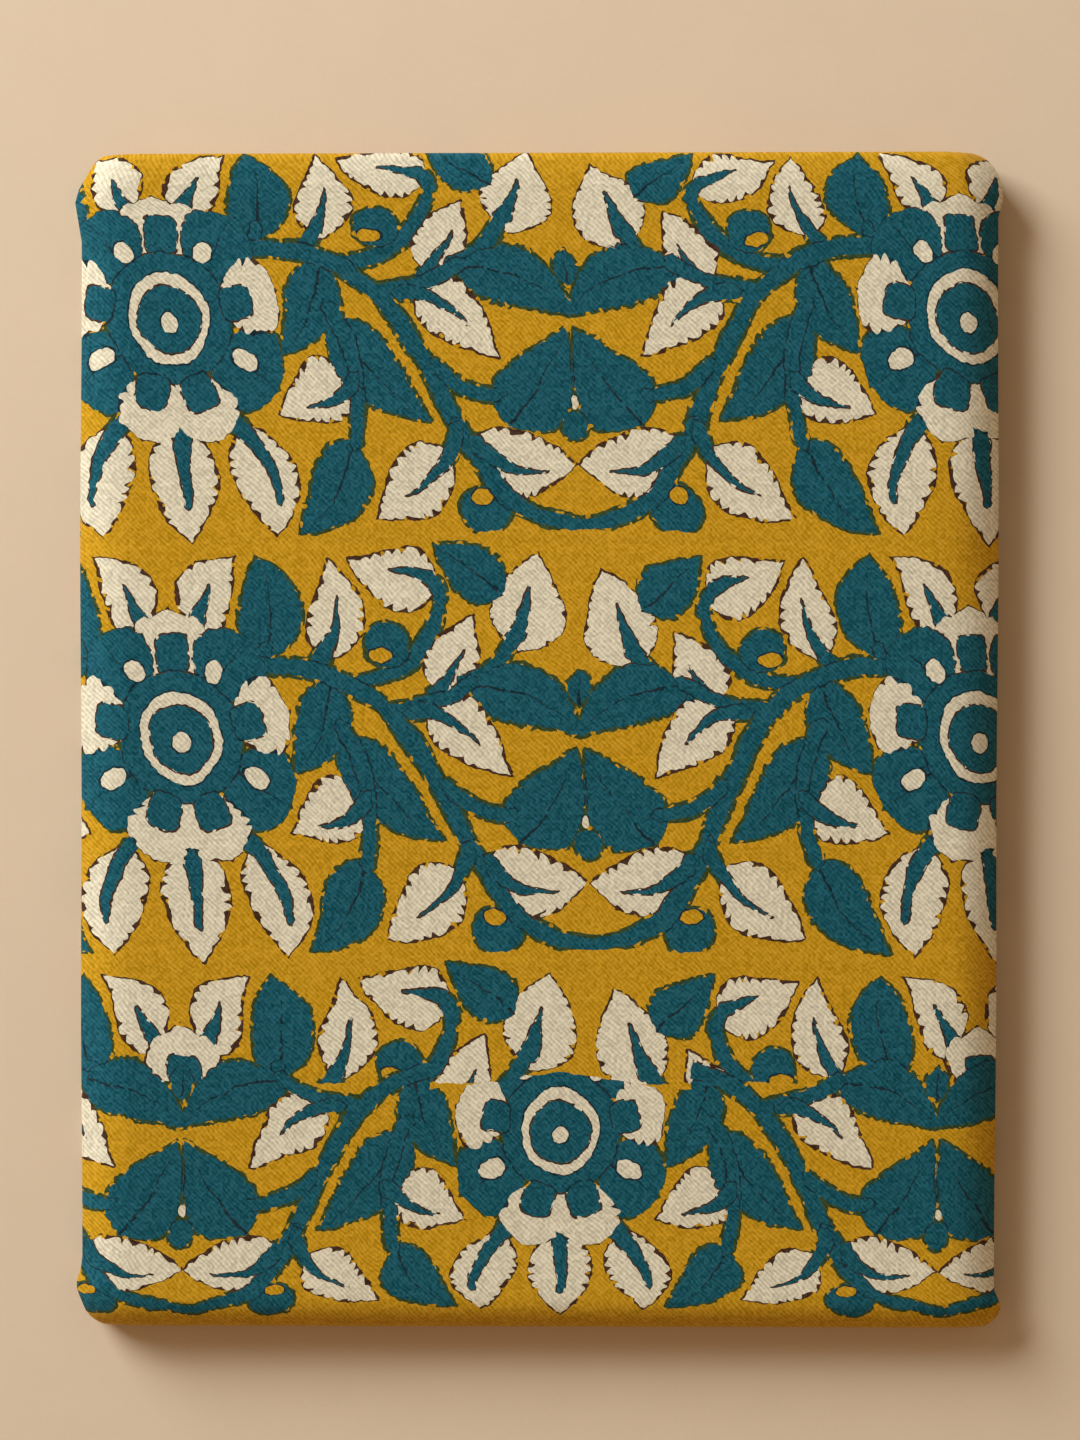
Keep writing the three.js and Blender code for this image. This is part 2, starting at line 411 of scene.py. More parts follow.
drops = [(33, 21.8, 2.5, 3.2, 0.1), (118, 24.7, 2.6, 4.2, 0.1)]
outerDisc = [(0, 0, 18.8, 20, 0, 0)]
ring = [(0, 0, 12.4, 14.1, 0, 0)]
innerDisc = [(0, 0.4, 9.5, 10.2, 0, 0)]
middleDot = [(0, 1.5, 2.7, 2.9, 0, 0)]

# What a stamp takes and passes on: the ink so far, how near its edge is in mm, and how near a brown
# one is. Each of its own sockets is a vector with one shape on each axis.
passedOn = ("ink", "line", "brown")
plainSockets = passedOn + ("newInk",)
farOutside = -99.0
nothingYet = (0.0, farOutside, farOutside)


def newGroup(name, takes):
    # A group with a stamp's sockets; gives it back with what the stamp is given
    group = bpy.data.node_groups.new(name, "ShaderNodeTree")
    for way, sockets in (("INPUT", plainSockets + takes), ("OUTPUT", passedOn)):
        for socket in sockets:
            kind = "NodeSocketFloat" if socket in plainSockets else "NodeSocketVector"
            group.interface.new_socket(socket, in_out=way, socket_type=kind)
    return group, group.nodes.new("NodeGroupInput").outputs


def onPlane(tree, given, name):
    # a + b x + c y, for three shapes at once
    value = (given["y"], given[name + "Y"], given[name + "0"])
    value = addNode(tree, "VectorMath", value, operation="MULTIPLY_ADD")
    value = (given["x"], given[name + "X"], value)
    return addNode(tree, "VectorMath", value, operation="MULTIPLY_ADD")


def largest(tree, vector):
    # max(x, y, z)
    first = addNode(tree, "SeparateXYZ", (vector,))
    second, third = first.node.outputs[1:]
    value = addNode(tree, "Math", (first, second), operation="MAXIMUM")
    return addNode(tree, "Math", (value, third), operation="MAXIMUM")


spineSockets = ("x", "y", "shareX", "shareY", "share0", "sideX", "sideY", "side0", "bow", "length")


def followSpine(tree, given, twisted=False):
    # share runs from 0 to 1 along the spine, rest = 1 - share, and the spine bends aside by
    # 4 share rest (bow + twist (2 share - 1)). inward = -|side| from it, and past either end less
    # again by how far past. within = share rest, but 0 past either end.
    share, side = onPlane(tree, given, "share"), onPlane(tree, given, "side")
    rest = addNode(tree, "VectorMath", ((1, 1, 1), share), operation="SUBTRACT")
    curve = addNode(tree, "VectorMath", (share, rest), operation="MULTIPLY")
    bow = given["bow"]
    if twisted:
        bow = addNode(tree, "VectorMath", (share, given["twist"], bow), operation="MULTIPLY_ADD")
    side = addNode(tree, "VectorMath", (curve, bow, side), operation="MULTIPLY_ADD")
    sideways = addNode(tree, "VectorMath", (side,), operation="ABSOLUTE")
    past = addNode(tree, "VectorMath", (curve, (0, 0, 0)), operation="MINIMUM")
    past = addNode(tree, "VectorMath", (past, given["length"]), operation="MULTIPLY")
    inward = addNode(tree, "VectorMath", (past, sideways), operation="SUBTRACT")
    within = addNode(tree, "VectorMath", (curve, (0, 0, 0)), operation="MAXIMUM")
    return {"share": share, "rest": rest, "within": within, "sideways": sideways, "inward": inward}


def layInk(tree, given, depths, brownEdge=None, veins=None):
    # Where the largest depth is above 0, the new ink lies, and line starts again with the veins.
    # Elsewhere line = max(line, edge), in mm below 0. brown = max(brown, brown edge) everywhere.
    depth = largest(tree, depths)
    inside = addNode(tree, "Math", (depth, 0), operation="GREATER_THAN")
    ink = addNode(tree, "Mix", {0: inside, 2: given["ink"], 3: given["newInk"]})
    edge = depth if brownEdge is None else brownEdge
    line = addNode(tree, "Math", (given["line"], edge), operation="MAXIMUM")
    vein = farOutside if veins is None else largest(tree, veins)
    line = addNode(tree, "Mix", {0: inside, 2: line, 3: vein})
    brown = given["brown"]
    if brownEdge is not None:
        brown = addNode(tree, "Math", (brown, brownEdge), operation="MAXIMUM")
    addNode(tree, "NodeGroupOutput", (ink, line, brown), output=slice(0))
    return tree


def leafGroup(name, brownEdged):
    # profile = share rest / ((share + baseBlunt) (rest + tipBlunt)),
    # depth = profile (plain + scallop |sin(lobeTurn share + lobeDrift)|) + inward,
    # brown edge = profile smooth + inward - brownLess. A vein lies where |side| < veinHalf rest.
    takes = spineSockets + ("twist", "baseBlunt", "tipBlunt")
    takes += ("lobeTurn", "lobeDrift", "scallop", "plain", "smooth")
    tree, given = newGroup(name, takes)
    spine = followSpine(tree, given, twisted=True)
    share, rest, inward = spine["share"], spine["rest"], spine["inward"]
    fromBase = addNode(tree, "VectorMath", (share, given["baseBlunt"]), operation="ADD")
    fromTip = addNode(tree, "VectorMath", (rest, given["tipBlunt"]), operation="ADD")
    both = addNode(tree, "VectorMath", (fromBase, fromTip), operation="MULTIPLY")
    profile = addNode(tree, "VectorMath", (spine["within"], both), operation="DIVIDE")
    lobe = (share, given["lobeTurn"], given["lobeDrift"])
    lobe = addNode(tree, "VectorMath", lobe, operation="MULTIPLY_ADD")
    lobe = addNode(tree, "VectorMath", (lobe,), operation="SINE")
    lobe = addNode(tree, "VectorMath", (lobe,), operation="ABSOLUTE")
    lobe = (lobe, given["scallop"], given["plain"])
    lobe = addNode(tree, "VectorMath", lobe, operation="MULTIPLY_ADD")
    depths = addNode(tree, "VectorMath", (profile, lobe, inward), operation="MULTIPLY_ADD")
    if brownEdged:
        edges = addNode(tree, "VectorMath", (profile, given["smooth"], inward), operation="MULTIPLY_ADD")
        edge = (largest(tree, edges), printed["brownLess"])
        return layInk(tree, given, depths, addNode(tree, "Math", edge, operation="SUBTRACT"))
    veinHalf = (printed["veinHalf"],) * 3
    drawnFrom = (-printed["edgeOnInk"],) * 3
    veins = addNode(tree, "VectorMath", (rest, veinHalf, drawnFrom), operation="MULTIPLY_ADD")
    veins = addNode(tree, "VectorMath", (veins, spine["sideways"]), operation="SUBTRACT")
    veins = addNode(tree, "VectorMath", (veins, depths), operation="MINIMUM")
    return layInk(tree, given, depths, veins=veins)


def strokeGroup():
    # depth = baseHalf + widens share + inward
    tree, given = newGroup("strokeStamps", spineSockets + ("baseHalf", "widens"))
    spine = followSpine(tree, given)
    half = (spine["share"], given["widens"], given["baseHalf"])
    half = addNode(tree, "VectorMath", half, operation="MULTIPLY_ADD")
    depths = addNode(tree, "VectorMath", (half, spine["inward"]), operation="ADD")
    return layInk(tree, given, depths)


def blobGroup():
    # depth = size (1 - mix(a^2 + b^2, a^4 + b^4, square)), with a and b the places along its two axes
    takes = ("x", "y", "aX", "aY", "a0", "bX", "bY", "b0", "square", "size")
    tree, given = newGroup("blobStamps", takes)
    a, b = onPlane(tree, given, "a"), onPlane(tree, given, "b")
    a = addNode(tree, "VectorMath", (a, a), operation="MULTIPLY")
    b = addNode(tree, "VectorMath", (b, b), operation="MULTIPLY")
    roundOne = addNode(tree, "VectorMath", (a, b), operation="ADD")
    b = addNode(tree, "VectorMath", (b, b), operation="MULTIPLY")
    squareOne = addNode(tree, "VectorMath", (a, a, b), operation="MULTIPLY_ADD")
    between = addNode(tree, "VectorMath", (squareOne, roundOne), operation="SUBTRACT")
    mixed = (between, given["square"], roundOne)
    mixed = addNode(tree, "VectorMath", mixed, operation="MULTIPLY_ADD")
    left = addNode(tree, "VectorMath", ((1, 1, 1), mixed), operation="SUBTRACT")
    depths = addNode(tree, "VectorMath", (left, given["size"]), operation="MULTIPLY")
    return layInk(tree, given, depths)


def spineValues(base, tip, bow, press):
    # share = along . (place - base) / length^2 and side = across . (place - base), as sums for
    # onPlane, and the bow's -4 makes it the whole bend where share rest is a quarter
    along = Vector(tip) - Vector(base)
    across = Vector((-along.y, along.x)) / along.length
    share = along / along.length_squared
    return {
        "shareX": share.x, "shareY": share.y * press, "share0": -share.dot(base),
        "sideX": across.x, "sideY": across.y * press, "side0": -across.dot(base),
        "bow": -4 * bow, "length": along.length,
    }


def bluntness(power):
    # (1 + b) s / (s + b) stands for s^power, and meets it at a quarter of the way
    meetsAt = 0.25
    there = meetsAt**power
    return meetsAt * (1 - there) / (there - meetsAt)


def leafValues(row, scallop, press=1):
    # half scales share rest / ((share + base) (rest + tip)) to the leaf's half width at its widest
    leaf = dict(zip(leafColumns, row))
    base, tip = bluntness(leaf["rise"]), bluntness(leaf["fall"])
    shares = np.linspace(0, 1, 101)
    half = leaf["half"] / (shares * (1 - shares) / ((shares + base) * (1 - shares + tip))).max()
    ends = (leaf["baseX"], leaf["baseY"]), (leaf["tipX"], leaf["tipY"])
    middle, fills = printed["lobeMiddle"], printed["brownFills"]
    return spineValues(*ends, leaf["bow"], press) | {
        "bow": -4 * (leaf["bow"] - leaf["twist"]), "twist": -8 * leaf["twist"],
        "baseBlunt": base, "tipBlunt": tip, "lobeTurn": math.pi * leaf["lobes"],
        "scallop": half * scallop, "plain": half * (1 - middle * scallop),
        "smooth": half * (1 + (fills - middle) * scallop),
    }


def strokeValues(row):
    stroke = dict(zip(strokeColumns, row))
    ends = (stroke["baseX"], stroke["baseY"]), (stroke["tipX"], stroke["tipY"])
    widens = stroke["tipHalf"] - stroke["baseHalf"]
    return spineValues(*ends, stroke["bow"], 1) | {"baseHalf": stroke["baseHalf"], "widens": widens}


def blobValues(row, press=1):
    # a and b run to 1 at the edge. size makes a step of depth about a step in mm there.
    blob = dict(zip(blobColumns, row))
    cos, sin = math.cos(math.radians(blob["turn"])), math.sin(math.radians(blob["turn"]))
    a, b = Vector((cos, sin)) / blob["halfX"], Vector((-sin, cos)) / blob["halfY"]
    centre = Vector((blob["x"], blob["y"]))
    return {
        "aX": a.x, "aY": a.y * press, "a0": -a.dot(centre),
        "bX": b.x, "bY": b.y * press, "b0": -b.dot(centre), "square": blob["square"],
        "size": min(blob["halfX"], blob["halfY"]) / (2 + 2 * blob["square"]),
    }


def awayFrom(angle, distance):
    # The place (sin angle, -cos angle) distance, seen from the flower's middle
    turn = math.radians(angle)
    return Vector((math.sin(turn), -math.cos(turn))) * distance


def petalValues(row, scallop):
    petal = dict(zip(petalColumns, row))
    base, tip = (awayFrom(petal["angle"], petal[end]) for end in ("inner", "outer"))
    shape = (petal["half"], petal["rise"], petal["fall"], petal["lobes"])
    return leafValues((*base, *tip, 0, 0, *shape), scallop, flowerPress)


def notchValues(row):
    notch = dict(zip(notchColumns, row))
    centre = awayFrom(notch["angle"], notch["at"])
    shape = (notch["half"], notch["span"], notch["angle"], notch["square"])
    return blobValues((*centre, *shape), flowerPress)


def stampAll(tree, group, state, place, ink, shapes, lobeDrift):
    # Three shapes go into a stamp. An axis left over gets a copy of the first.
    for first in range(0, len(shapes), 3):
        trio = shapes[first:first + 3]
        trio += trio[:1] * (3 - len(trio))
        inputs = {name: tuple(shape[name] for shape in trio) for name in trio[0]}
        inputs |= dict(zip(passedOn, state)) | {"newInk": ink, "x": place[0], "y": place[1]}
        if "lobeTurn" in inputs:
            inputs["lobeDrift"] = lobeDrift
        outputs = addNode(tree, "Group", inputs, node_tree=group).node.outputs
        state = tuple(outputs[name] for name in passedOn)
    return state


def layOut(tree, flat):
    # u runs across the cloth and v along it. ripple = cos(pi (u - swingAxis) / halfRepeat),
    # row = floor((v - reachSwing ripple + rowReach - firstRow) / rowPitch),
    # y = v - firstRow - row rowPitch, x = pingpong(u - axis - (lean + leanSwing ripple) y, halfRepeat).
    # In the shifted row x = pingpong((u - its axis) scale) and y = (y + rise) / height, and more of it
    # further down.
    u = addNode(tree, "SeparateXYZ", (flat,))
    v = u.node.outputs[1]
    pressed = (v, 0.0, printed["pressedOver"], -printed["pressedBy"], 0.0)
    v = addNode(tree, "Math", (v, addNode(tree, "MapRange", pressed)), operation="ADD")
    turn = math.pi / printed["halfRepeat"]
    ripple = addNode(tree, "Math", (u, turn, -turn * printed["swingAxis"]), operation="MULTIPLY_ADD")
    ripple = addNode(tree, "Math", (ripple,), operation="COSINE")
    row = addNode(tree, "Math", (ripple, -printed["reachSwing"], v), operation="MULTIPLY_ADD")
    pitch, rowsBefore = printed["rowPitch"], printed["rowReach"] - printed["firstRow"]
    row = addNode(tree, "Math", (row, 1 / pitch, rowsBefore / pitch), operation="MULTIPLY_ADD")
    row = addNode(tree, "Math", (row,), operation="FLOOR")
    y = addNode(tree, "Math", (row, -pitch, v), operation="MULTIPLY_ADD")
    y = addNode(tree, "Math", (y, printed["firstRow"]), operation="SUBTRACT")
    cycle = addNode(tree, "Math", (row, printed["rowCycle"]), operation="FLOORED_MODULO")
    axis = (cycle, printed["axisDrift"], printed["firstAxis"])
    axis = addNode(tree, "Math", axis, operation="MULTIPLY_ADD")
    x = addNode(tree, "Math", (u, axis), operation="SUBTRACT")
    lean = (ripple, -printed["leanSwing"], -printed["lean"])
    lean = addNode(tree, "Math", lean, operation="MULTIPLY_ADD")
    leant = addNode(tree, "Math", (lean, y, x), operation="MULTIPLY_ADD")
    folded = addNode(tree, "Math", (leant, printed["halfRepeat"]), operation="PINGPONG")

    # side is 1 on every second half repeat, which is the one that is mirrored
    side = addNode(tree, "Math", (leant, 1 / printed["halfRepeat"]), operation="MULTIPLY")
    side = addNode(tree, "Math", (side,), operation="FLOOR")
    side = addNode(tree, "Math", (side, 2.0), operation="FLOORED_MODULO")
    sag = (folded, printed["sagsFrom"], printed["sagsWholly"], 0.0, printed["sag"])
    sag = addNode(tree, "Math", (side, addNode(tree, "MapRange", sag)), operation="MULTIPLY")
    upperY = addNode(tree, "Math", (y, sag), operation="SUBTRACT")

    scale = printed["halfRepeat"] / shiftedRow["halfRepeat"]
    shifted = (u, scale, -shiftedRow["axis"] * scale)
    shifted = addNode(tree, "Math", shifted, operation="MULTIPLY_ADD")
    shifted = addNode(tree, "Math", (shifted, printed["halfRepeat"]), operation="PINGPONG")
    raised = addNode(tree, "Math", (y, shiftedRow["rise"]), operation="ADD")
    overFlower, overVine = 1 / shiftedRow["flowerHeight"], 1 / shiftedRow["vineHeight"]
    height = (shifted, shiftedRow["vineFrom"], shiftedRow["vineWholly"], overFlower, overVine)
    raised = addNode(tree, "Math", (raised, addNode(tree, "MapRange", height)), operation="MULTIPLY")
    below = addNode(tree, "Math", (raised, shiftedRow["squeezedBelow"]), operation="SUBTRACT")
    below = addNode(tree, "Math", (below, 0.0), operation="MAXIMUM")
    raised = addNode(tree, "Math", (below, shiftedRow["squeeze"], raised), operation="MULTIPLY_ADD")
    isShifted = addNode(tree, "Math", (cycle, shiftedRow["row"], 0.5), operation="COMPARE")
    lowerX = addNode(tree, "Mix", {0: isShifted, 2: folded, 3: shifted})
    lowerY = addNode(tree, "Mix", {0: isShifted, 2: y, 3: raised})

    # In the shifted row, tipsEnd is 1 below the leaf tips of its first blocks, and bare is 1 above
    # the flower, where the shifted blocks print nothing
    low = addNode(tree, "Math", (y, shiftedRow["tipsEnd"]), operation="GREATER_THAN")
    tipsEnd = addNode(tree, "Math", (low, isShifted), operation="MULTIPLY")
    slanted = (shifted, -shiftedRow["flowerSlant"], raised)
    slanted = addNode(tree, "Math", slanted, operation="MULTIPLY_ADD")
    high = addNode(tree, "Math", (slanted, shiftedRow["flowerStarts"]), operation="LESS_THAN")
    near = addNode(tree, "Math", (shifted, shiftedRow["vineStarts"]), operation="LESS_THAN")
    bare = addNode(tree, "Math", (high, near), operation="MULTIPLY")
    bare = addNode(tree, "Math", (bare, isShifted), operation="MULTIPLY")
    places = (folded, upperY, lowerX, lowerY)
    threefold = [addNode(tree, "CombineXYZ", (value,) * 3) for value in places]
    return threefold[:2], threefold[2:], tipsEnd, bare


def printLayers(tree, flat, lobeDrift):
    # The first blocks print the leaf tips, and the second ones the vines and the flowers over them
    creamLeaf, tealLeaf = leafGroup("creamLeafStamps", True), leafGroup("tealLeafStamps", False)
    stroke, blob = strokeGroup(), blobGroup()
    upper, lower, tipsEnd, bare = layOut(tree, flat)
    onCream, onTeal = printed["scallopCream"], printed["scallopTeal"]
    state = nothingYet
    for group, ink, shapes in (
        (creamLeaf, cream, [leafValues(row, onCream) for row in upperCreamLeaves]),
        (tealLeaf, teal, [leafValues(row, onTeal) for row in upperTealLeaves]),
        (stroke, teal, [strokeValues(row) for row in upperStrokes]),
        (creamLeaf, cream, [petalValues(row, onCream) for row in farPetal]),
        (blob, teal, [blobValues(row) for row in spiralBall] + [notchValues(row) for row in farNotch]),
        (blob, ground, [blobValues(row) for row in spiralGap]),
    ):
        state = stampAll(tree, group, state, upper, ink, shapes, lobeDrift)
    state = tuple(addNode(tree, "Mix", {0: tipsEnd, 2: a, 3: b}) for a, b in zip(state, nothingYet))
    tips = state
    for group, ink, shapes in (
        (creamLeaf, cream, [leafValues(row, onCream) for row in lowerCreamLeaves]),
        (tealLeaf, teal, [leafValues(row, onTeal) for row in lowerTealLeaves]),
        (blob, teal, [blobValues(row) for row in budAndScroll]),
        (stroke, teal, [strokeValues(row) for row in lowerStrokes]),
        (blob, ground, [blobValues(row) for row in scrollGap]),
        (tealLeaf, teal, [petalValues(row, onTeal) for row in tealPetals]),
        (creamLeaf, cream, [petalValues(row, onCream) for row in creamPetals]),
        (blob, teal, [blobValues(row) for row in outerDisc]),
        (blob, cream, [blobValues(row) for row in ring + budGap]),
        (blob, teal, [blobValues(row) for row in innerDisc] + [notchValues(row) for row in notches]),
        (blob, cream, [blobValues(row) for row in middleDot] + [notchValues(row) for row in drops]),
    ):
        state = stampAll(tree, group, state, lower, ink, shapes, lobeDrift)
    return tuple(addNode(tree, "Mix", {0: bare, 2: a, 3: b}) for a, b in zip(state, tips))


# Coarse cotton in plain weave, vat-dyed mustard and block-printed: dull and a little fuzzy, with a
# hatch of uneven yarns, and ink that breaks up and frays from yarn to yarn. The hatch is a relief,
# and is also painted into the colour as shade. It has the real pitch of the yarns, about the finest
# that the render shows. Lengths are in mm and scales per mm.
weave = {
    "yarnPitch": 0.825,
    "yarnsWander": 1.6,
    "wanderScale": 0.11,
    "inkWanders": 1.6,  # the print goes with the yarns
    "inkFrays": 0.16,  # from yarn to yarn
    "inkWobbles": 0.7,
    "wobbleScale": 0.5,
    "missedScale": 0.45,
    "missedBelow": 0.32,
    "downHatch": 0.8,  # the diagonals that go down to the right show more than the others
    "upHatch": 0.12,
    # painted shade: how much the hatch of the weave darkens the colour along its hollows
    "hatchPaintedShade": 0.27,
    "fleckShade": 0.5,
    "yarnShade": 0.09,
    "meanShade": 1.02,
    "glint": 0.015,  # the light that a yarn adds to the darkest ink
    "reliefDepth": 0.1,
    "relief": 0.5,
    # Beside each colour: how strongly the yarns' random tone and the painted shade of their hatch show
    # in it
    "mustard": ("#C89404", 0.62),  # a colour, and how much the yarns show in it
    "creamInk": ("#E0D5B6", 0.6),
    "tealInk": ("#035460", 1.0),
    "edgeGreen": ("#33451C", 0.8),
    "edgeBrown": ("#43260E", 0.9),
    "edgeDark": ("#06262F", 0.5),
    "roughness": 0.9,
    "sheen": 0.05,
    "sheenRoughness": 0.5,
    "specular": 0.15,
}


def cottonMaterial():
    material = bpy.data.materials.new("blockPrintedCotton")
    material.use_nodes = True
    tree = material.node_tree
    tree.nodes.clear()
    flat = addNode(tree, "UVMap", uv_map="clothWeave")
    flat = addNode(tree, "VectorMath", {0: flat, "Scale": 1 / mm}, operation="SCALE")

    # Yarns wander a little. The print goes with them, wobbles, and frays from yarn to yarn:
    # place = flat + inkWanders drift + inkWobbles wobble + inkFrays fray, each between -half and half
    half = (0.5, 0.5, 0.5)
    drift = {"Vector": flat, "Scale": weave["wanderScale"], "Detail": 0.0}
    drift = addNode(tree, "TexNoise", drift, 1, noise_dimensions="2D")
    drift = addNode(tree, "VectorMath", (drift, half), operation="SUBTRACT")
    yarnPlace = (drift, (weave["yarnsWander"],) * 3, flat)
    yarnPlace = addNode(tree, "VectorMath", yarnPlace, operation="MULTIPLY_ADD")
    cell = {0: yarnPlace, "Scale": 1 / weave["yarnPitch"]}
    cell = addNode(tree, "VectorMath", cell, operation="SCALE")
    cell = addNode(tree, "VectorMath", (cell,), operation="FLOOR")
    chances = addNode(tree, "TexWhiteNoise", {"Vector": cell}, 1, noise_dimensions="2D")
    chance = chances.node.outputs[0]
    fray = addNode(tree, "VectorMath", (chances, half), operation="SUBTRACT")
    wobble = {"Vector": flat, "Scale": weave["wobbleScale"], "Detail": 0.0}
    wobble = addNode(tree, "TexNoise", wobble, 1, noise_dimensions="2D")
    wobble = addNode(tree, "VectorMath", (wobble, half), operation="SUBTRACT")
    printPlace = flat
    for moved, by in ((fray, "inkFrays"), (wobble, "inkWobbles"), (drift, "inkWanders")):
        printPlace = (moved, (weave[by],) * 3, printPlace)
        printPlace = addNode(tree, "VectorMath", printPlace, operation="MULTIPLY_ADD")
    lobeDrift = {0: drift, "Scale": printed["lobeDrift"]}
    lobeDrift = addNode(tree, "VectorMath", lobeDrift, operation="SCALE")
    ink, line, brown = printLayers(tree, printPlace, lobeDrift)

    # An edge is drawn where line > -edgeWidth, or > -edgeOnInk on ink. It is brown by cream ink and
    # green by teal, and breaks up where the block missed the cloth.
    missed = {"Vector": flat, "Scale": weave["missedScale"], "Detail": 0.0}
    missed = addNode(tree, "TexNoise", missed, noise_dimensions="2D")
    missed = addNode(tree, "Math", (missed, weave["missedBelow"]), operation="GREATER_THAN")
    onInk = addNode(tree, "Math", (ink, 0.5), operation="GREATER_THAN")
    edgeWidth = printed["edgeWidth"]
    reach = (onInk, edgeWidth - printed["edgeOnInk"], -edgeWidth)
    reach = addNode(tree, "Math", reach, operation="MULTIPLY_ADD")
    line = addNode(tree, "Math", (line, reach), operation="GREATER_THAN")
    line = addNode(tree, "Math", (line, missed), operation="MULTIPLY")
    brown = addNode(tree, "Math", (brown, -edgeWidth), operation="GREATER_THAN")

    # Each ink has three stops in the ramp: itself, its edge, and its edge by cream ink. The ramp's
    # alpha carries how strongly the yarns' random tone and the painted shade of their hatch show.
    stopsOfInk = 3.0
    stops = (
        "mustard", "edgeGreen", "edgeBrown",
        "creamInk", "edgeBrown", "edgeBrown",
        "tealInk", "edgeDark", "edgeDark",
    )
    edge = addNode(tree, "Math", (line, brown, line), operation="MULTIPLY_ADD")
    stop = addNode(tree, "Math", (ink, stopsOfInk, edge), operation="MULTIPLY_ADD")
    stop = addNode(tree, "Math", (stop, 0.5), operation="ADD")
    stop = addNode(tree, "Math", (stop, float(len(stops))), operation="DIVIDE")
    ramp = addNode(tree, "ValToRGB", (stop,))
    band = ramp.node.color_ramp
    band.interpolation = "CONSTANT"
    while len(band.elements) < len(stops):
        band.elements.new(1.0)
    for place, (element, name) in enumerate(zip(band.elements, stops)):
        colour, contrast = weave[name]
        element.position = place / len(stops)
        element.color = (*sRgb(colour)[:3], contrast)

    # The hatch of a plain weave: height = downHatch cos(turn (x - y)) + upHatch cos(turn (x + y))
    turn = math.pi / weave["yarnPitch"]
    down = addNode(tree, "VectorMath", (yarnPlace, (turn, -turn, 0)), 1, operation="DOT_PRODUCT")
    down = addNode(tree, "Math", (down,), operation="COSINE")
    up = addNode(tree, "VectorMath", (yarnPlace, (turn, turn, 0)), 1, operation="DOT_PRODUCT")
    up = addNode(tree, "Math", (up,), operation="COSINE")
    up = addNode(tree, "Math", (up, weave["upHatch"]), operation="MULTIPLY")
    height = addNode(tree, "Math", (down, weave["downHatch"], up), operation="MULTIPLY_ADD")

    # shade = the hatch's painted shade (height times its weight) + fleckShade chance + yarnShade
    # (warp + weft), less its mean: painted shade where the hatch of the relief has its hollows, and the
    # random tone of the yarns. A row is counted half a yarn on, so that it doesn't draw the chance of a
    # column.
    column = addNode(tree, "SeparateXYZ", (cell,))
    warp = addNode(tree, "TexWhiteNoise", {"W": column}, noise_dimensions="1D")
    row = addNode(tree, "Math", (column.node.outputs[1], 0.5), operation="ADD")
    weft = addNode(tree, "TexWhiteNoise", {"W": row}, noise_dimensions="1D")
    yarns = addNode(tree, "Math", (warp, weft), operation="ADD")
    lessMean = -weave["fleckShade"] / 2 - weave["yarnShade"]
    shade = addNode(tree, "Math", (height, weave["hatchPaintedShade"], lessMean), operation="MULTIPLY_ADD")
    shade = addNode(tree, "Math", (yarns, weave["yarnShade"], shade), operation="MULTIPLY_ADD")
    shade = addNode(tree, "Math", (chance, weave["fleckShade"], shade), operation="MULTIPLY_ADD")
    glint = addNode(tree, "Math", (chance, weave["glint"]), operation="MULTIPLY")
    shade = (shade, ramp.node.outputs[1], weave["meanShade"])
    shade = addNode(tree, "Math", shade, operation="MULTIPLY_ADD")
    colour = addNode(tree, "VectorMath", (ramp, shade, glint), operation="MULTIPLY_ADD")

    relief = {"Strength": weave["relief"], "Distance": weave["reliefDepth"] * mm, "Height": height}
    bump = addNode(tree, "Bump", relief)
    shader = addNode(tree, "BsdfPrincipled", {
        "Base Color": colour,
        "Roughness": weave["roughness"],
        "Normal": bump,
        "Sheen Weight": weave["sheen"],
        "Sheen Roughness": weave["sheenRoughness"],
        "Specular IOR Level": weave["specular"],
    })
    addNode(tree, "OutputMaterial", (shader,), output=slice(0))
    return material


points, flatPlaces, flatLength = clothSurface()
foldedCloth = gridMesh("foldedDressCloth", points, flatPlaces)
thicken = foldedCloth.modifiers.new("clothThickness", "SOLIDIFY")
thicken.thickness = cloth["yarnThickness"] * mm
thicken.offset = 0
foldedCloth.data.materials.append(cottonMaterial())
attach(foldedCloth, "root")
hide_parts("folded_cloth")
print("cloth folded:", len(foldedCloth.data.polygons), "faces, flat length in mm", round(flatLength))


# The floor is a painted board with a faint tooth. Scales are per metre and lengths in metres.
studio = {
    "floorSize": 4,
    "floorColour": "#E8D0AF",
    "floorDrop": 0.0001,
    "floorRoughness": 0.85,
    "toothScale": 700.0,
    "toothRelief": 0.2,
    "toothDepth": 0.0001,
    "mottleScale": 60.0,
    "mottleShade": 0.04,  # how much each of the two patterns shades the paint
    "darkestShade": 0.96,
    "lightFrom": 2.7,
    "lightHeading": 137,  # degrees from +X: the far left of the picture
    "lightHeight": 31,
    "lightSize": 1.45,
    "lightPower": 91,
    "lightColour": "#ECF5FF",
    "roomColour": "#FFDCB8",
    "roomStrength": 0.3,
}


